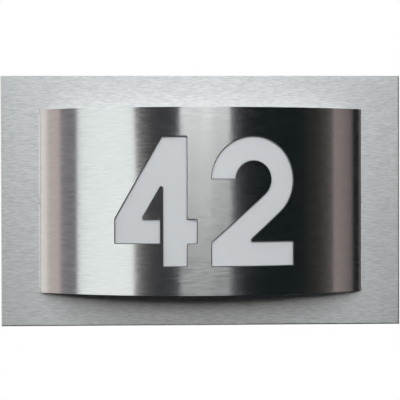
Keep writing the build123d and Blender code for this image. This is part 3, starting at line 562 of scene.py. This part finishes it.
bpy.ops.object.select_all(action="DESELECT")
bpy.ops.mesh.primitive_uv_sphere_add(segments=20, ring_count=12, radius=coin_radius)
bead = bpy.context.object
bpy.ops.object.mode_set(mode="EDIT")
bpy.ops.mesh.select_all(action="SELECT")
bpy.ops.transform.resize(value=(1, flatness, 1), center_override=(0, 0, 0))
bpy.ops.transform.rotate(value=tilt, orient_axis="X", center_override=(0, 0, 0))
bpy.ops.object.mode_set(mode="OBJECT")
print("one coin:", len(bead.data.polygons), "faces")

# %% A row of coins
coins = 9
coin_step = 0.95 * mm

row = bead.modifiers.new("row", "ARRAY")
row.count = coins
row.use_relative_offset = False
row.use_constant_offset = True
row.constant_offset_displace = (0, coin_step, 0)
bpy.ops.object.modifier_apply(modifier="row")
bpy.ops.object.shade_smooth_by_angle(angle=math.radians(60))
weld_metal = cloudy_metal("weld_metal", (0.34, 0.32, 0.31), (0.56, 0.55, 0.54), 0.25, 0.45, cloud=500)
bead.data.materials.append(weld_metal)
print("one bead:", coins, "coins")

# %% A bead in every corner
seam_x, seam_z = 157.8 * mm, 97.8 * mm   # from the tray's middle to its corner seams
first_coin_y = -9.3 * mm

for number, (side, end) in enumerate([(-1, -1), (-1, 1), (1, -1), (1, 1)], 1):
    weld = bpy.data.objects.new(f"corner_weld_{number}", bead.data.copy())
    bpy.context.scene.collection.objects.link(weld)
    weld.data.transform(Matrix.Translation((side * seam_x, first_coin_y, end * seam_z)))
    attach(weld, "base")
bpy.data.objects.remove(bead)
print("welds:", number, "with", len(weld.data.vertices), "points each")

# %% [markdown]
# ## The studio
#
# A plain pale floor lies below the sign, and the world around it is white. The Light Path node shows that
# white to the camera and to every mirror, while the light that reaches dull surfaces is weaker, so that a
# colour renders about as it is written. That light comes from above and from the sides, as in a room
# with a dark floor: the height of a direction, its Z, sets its strength. So the underside of the opal
# box stays dark, and the steel below it mirrors that dark. The floor glows for the camera alone, so that it
# looks as pale as the world, and its underside is clear, for the views from below.

# %% Light from above and the sides
world = bpy.data.worlds.new("studio")
bpy.context.scene.world = world
world.use_nodes = True
nodes = world.node_tree.nodes
links = world.node_tree.links
fill = nodes["Background"]
fill.inputs["Color"].default_value = (0.96, 0.98, 1.0, 1)
way = nodes.new("ShaderNodeTexCoord")
height = nodes.new("ShaderNodeSeparateXYZ")
links.new(way.outputs["Generated"], height.inputs["Vector"])
from_above = nodes.new("ShaderNodeMapRange")
for socket, value in (("From Min", -0.15), ("From Max", 0.15), ("To Min", 0.06), ("To Max", 0.75)):
    from_above.inputs[socket].default_value = value
links.new(height.outputs["Z"], from_above.inputs["Value"])
links.new(from_above.outputs["Result"], fill.inputs["Strength"])
print("fill light:", fill.inputs["Color"].default_value[:3])

# %% White for the camera and mirrors
white = nodes.new("ShaderNodeBackground")
white.inputs["Color"].default_value = (1, 1, 1, 1)
white.inputs["Strength"].default_value = 1.0
path = nodes.new("ShaderNodeLightPath")
seen_or_mirrored = nodes.new("ShaderNodeMath")
seen_or_mirrored.operation = "MAXIMUM"
links.new(path.outputs["Is Camera Ray"], seen_or_mirrored.inputs[0])
links.new(path.outputs["Is Glossy Ray"], seen_or_mirrored.inputs[1])
any_of_three = nodes.new("ShaderNodeMath")
any_of_three.operation = "MAXIMUM"
links.new(seen_or_mirrored.outputs["Value"], any_of_three.inputs[0])
links.new(path.outputs["Is Transmission Ray"], any_of_three.inputs[1])
mix = nodes.new("ShaderNodeMixShader")
links.new(any_of_three.outputs["Value"], mix.inputs["Fac"])
links.new(fill.outputs["Background"], mix.inputs[1])
links.new(white.outputs["Background"], mix.inputs[2])
links.new(mix.outputs["Shader"], nodes["World Output"].inputs["Surface"])
print("world:", len(nodes), "nodes")

# %% Floor
floor_level = -0.42
bpy.ops.object.select_all(action="DESELECT")
bpy.ops.mesh.primitive_plane_add(size=6, location=(0, -1.6, floor_level))
floor = bpy.context.object
floor.name = "floor"
print("floor at", floor_level, "m")

# %% Floor paint, clear from below
floor_paint, floor_shader = new_finish("floor", (0.80, 0.80, 0.80), 0.9)
camera_glow = 0.55
floor_path = floor_paint.node_tree.nodes.new("ShaderNodeLightPath")
floor_glow = to_range(floor_paint, floor_path.outputs["Is Camera Ray"], 0.0, camera_glow, 0.0, 1.0)
link(floor_paint, floor_glow, floor_shader.inputs["Emission Strength"])
floor_shader.inputs["Emission Color"].default_value = (1, 1, 1, 1)
side = floor_paint.node_tree.nodes.new("ShaderNodeNewGeometry")
clear = floor_paint.node_tree.nodes.new("ShaderNodeBsdfTransparent")
from_below = floor_paint.node_tree.nodes.new("ShaderNodeMixShader")
link(floor_paint, side.outputs["Backfacing"], from_below.inputs["Fac"])
link(floor_paint, floor_shader.outputs["BSDF"], from_below.inputs[1])
link(floor_paint, clear.outputs["BSDF"], from_below.inputs[2])
surface = floor_paint.node_tree.nodes["Material Output"].inputs["Surface"]
link(floor_paint, from_below.outputs["Shader"], surface)
floor.data.materials.append(floor_paint)
floor.visible_glossy = floor.visible_diffuse = False
print("floor paint:", len(floor_paint.node_tree.nodes), "nodes")

# %% [markdown]
# ### Boards for the steel
#
# A bowed mirror shows the whole studio squeezed into its width, so the studio is where its look is
# made. Photographers stand white and black boards round such a thing. Here the boards are upright
# strips of one big drum round the sign. Only reflections see them: they send no light to dull surfaces
# and stay out of the picture. Each is a plane, subdivided and then bent onto the drum, with a glow that
# may fade from one side to the other.

# %% A sheet bent onto the drum
drum_radius = 2.0
drum_bottom, drum_top = -2.6, 2.6


def bent_sheet(name, start, end, low, high):   # start and end in degrees, low and high in metres
    bpy.ops.object.select_all(action="DESELECT")
    bpy.ops.mesh.primitive_grid_add(x_subdivisions=24, y_subdivisions=1, size=1)
    sheet = bpy.context.object
    sheet.name = name
    for vertex in sheet.data.vertices:
        along, up = vertex.co.x + 0.5, vertex.co.y + 0.5
        angle = math.radians(start + (end - start) * along)
        vertex.co = (drum_radius * math.sin(angle), -drum_radius * math.cos(angle), low + (high - low) * up)
    return sheet


print("the drum is", 2 * drum_radius, "m across")


# %% A glow that fades from side to side
def side_to_side_glow(name, levels):
    glow = bpy.data.materials.new(name)
    glow.use_nodes = True
    nodes = glow.node_tree.nodes
    nodes.remove(nodes["Principled BSDF"])
    place = nodes.new("ShaderNodeUVMap")
    split = nodes.new("ShaderNodeSeparateXYZ")
    ramp = nodes.new("ShaderNodeValToRGB")
    lamp = nodes.new("ShaderNodeEmission")
    link(glow, place.outputs["UV"], split.inputs["Vector"])
    link(glow, split.outputs["X"], ramp.inputs["Fac"])
    link(glow, ramp.outputs["Color"], lamp.inputs["Color"])
    link(glow, lamp.outputs["Emission"], nodes["Material Output"].inputs["Surface"])
    stops = ramp.color_ramp.elements
    while len(stops) < len(levels):
        stops.new(0.5)
    for stop, (position, color) in zip(stops, levels):
        stop.position = position
        stop.color = (*color, 1)
    brightest = max(max(color) for _, color in levels)
    if brightest > 1:
        for stop in stops:
            stop.color = tuple(v / brightest for v in stop.color[:3]) + (1,)
        lamp.inputs["Strength"].default_value = brightest
    return glow


# %% A board
def board(name, start, end, low, high, levels):
    sheet = bent_sheet(name, start, end, low, high)
    sheet.data.materials.append(side_to_side_glow(name, levels))
    sheet.visible_camera = sheet.visible_diffuse = sheet.visible_shadow = False
    sheet.visible_transmission = sheet.visible_volume_scatter = False


def tall_board(name, start, end, levels):
    board(name, start, end, drum_bottom, drum_top, levels)


# %% Greys and the softbox's place
def grey(level, warmth=0.0):
    return (level * (1 + warmth), level, level * (1 - warmth))


black = (0.003, 0.008, 0.010)
softbox_left, softbox_right, softbox_bottom = -9.7, 16.7, 0.184
print("softbox from", softbox_left, "to", softbox_right, "degrees, above", softbox_bottom, "m")

# %% Boards on the left
tall_board("far_left_white", -100.9, -85.9, [(0.0, (1.04, 0.98, 0.94)), (1.0, (1.15, 1.08, 1.04))])
tall_board("left_wood", -85.9, -77.0, [(0.0, (0.635, 0.54, 0.513)), (1.0, (0.70, 0.594, 0.565))])
tall_board("left_grey", -77.0, -66.3, [(0.0, (0.243, 0.235, 0.26)), (1.0, (0.219, 0.216, 0.244))])
tall_board("left_white", -66.3, -34.1, [(0.0, (1.25, 1.30, 1.29)), (1.0, (1.27, 1.32, 1.31))])
tall_board("left_black", -34.1, softbox_left,
           [(0.0, (0.40, 0.336, 0.311)), (0.12, (0.155, 0.147, 0.154)), (0.35, (0.072, 0.069, 0.072)),
            (0.6, (0.049, 0.050, 0.058)), (1.0, (0.065, 0.067, 0.078))])
print("boards on the left: 5")

# %% Boards below the softbox and on the right
board("low_black", softbox_left, softbox_right, drum_bottom, softbox_bottom,
      [(0.0, grey(0.010)), (1.0, grey(0.010))])
tall_board("right_black", softbox_right, 56.3,
           [(0.0, (0.128, 0.132, 0.148)), (0.2, (0.018, 0.020, 0.022)), (0.4, black), (1.0, black)])
tall_board("right_grey", 56.3, 76.4,
           [(0.0, black), (0.5, (0.030, 0.028, 0.026)), (1.0, (0.098, 0.092, 0.085))])
tall_board("right_wood", 76.4, 90.3, [(0.0, (0.398, 0.330, 0.318)), (1.0, (0.237, 0.198, 0.190))])
tall_board("far_right_black", 90.3, 135, [(0.0, black), (1.0, black)])
print("boards below and on the right: 5")

# %% [markdown]
# The softbox hangs above the camera. What the steel sees of it is one more strip of the drum, in four
# lengths, because it is brightest a little above its lower edge. From side to side it has two lighter and
# two darker places. A black lid under the drum keeps the white world below out of the steel, which is what
# makes the shade under the panel deep.

# %% Softbox for the steel
profile = [(0.0, 1.0), (0.14, 0.98), (0.29, 0.93), (0.44, 1.06),
           (0.59, 1.05), (0.74, 0.83), (0.89, 0.79), (1.0, 0.92)]
top_profile = [(0.0, 1.15), (0.16, 1.05), (0.29, 0.84), (0.45, 0.76),
               (0.60, 0.75), (0.72, 0.84), (0.84, 1.12), (1.0, 1.5)]


def softbox_part(name, start, end, low, high, strength, warmth, levels):
    board(name, start, end, low, high, [(place, grey(strength * level, warmth)) for place, level in levels])


softbox_part("softbox_edge", softbox_left, softbox_right, softbox_bottom, 0.249, 1.7, 0.05, profile)
softbox_part("softbox_low", softbox_left, softbox_right, 0.249, 0.40, 3.9, 0.03, profile)
softbox_part("softbox_middle", softbox_left, softbox_right, 0.40, 0.64, 2.5, -0.04, profile)
softbox_part("softbox_top", -10.5, 19.1, 0.64, drum_top, 1.65, -0.05, top_profile)
print("softbox: 4 lengths")

# %% Black lid
bpy.ops.object.select_all(action="DESELECT")
bpy.ops.mesh.primitive_circle_add(vertices=48, radius=drum_radius, fill_type="NGON",
                                  location=(0, 0, drum_bottom))
lid = bpy.context.object
lid.name = "black_lid"
lid.data.materials.append(bpy.data.materials["far_right_black"])
lid.visible_camera = lid.visible_diffuse = lid.visible_shadow = lid.visible_transmission = False
print("lid at", drum_bottom, "m")

# %% [markdown]
# ### A lamp for everything dull
#
# The same softbox also lights the paint, plastic and rubber, as an area lamp that mirrors don't see.

# %% Softbox lamp
bpy.ops.object.select_all(action="DESELECT")
bpy.ops.object.light_add(type="AREA", location=(0.12, -1.7, 1.15))
softbox = bpy.context.object
softbox.name = "softbox"
softbox.data.shape = "RECTANGLE"
softbox.data.size = 1.0
softbox.data.size_y = 1.4
softbox.data.energy = 28
to_the_sign = -softbox.location
softbox.rotation_euler = to_the_sign.to_track_quat("-Z", "Y").to_euler()
softbox.visible_glossy = False
softbox.visible_camera = False
print("softbox lamp:", softbox.data.energy, "W")

# %% [markdown]
# Blender's own view transform softens bright and strong colours, as film does. The Standard one shows
# every colour as it is, so a white that the studio makes is white in the picture.

# %% Colours as they are
bpy.context.scene.view_settings.view_transform = "Standard"
print("view transform:", bpy.context.scene.view_settings.view_transform)
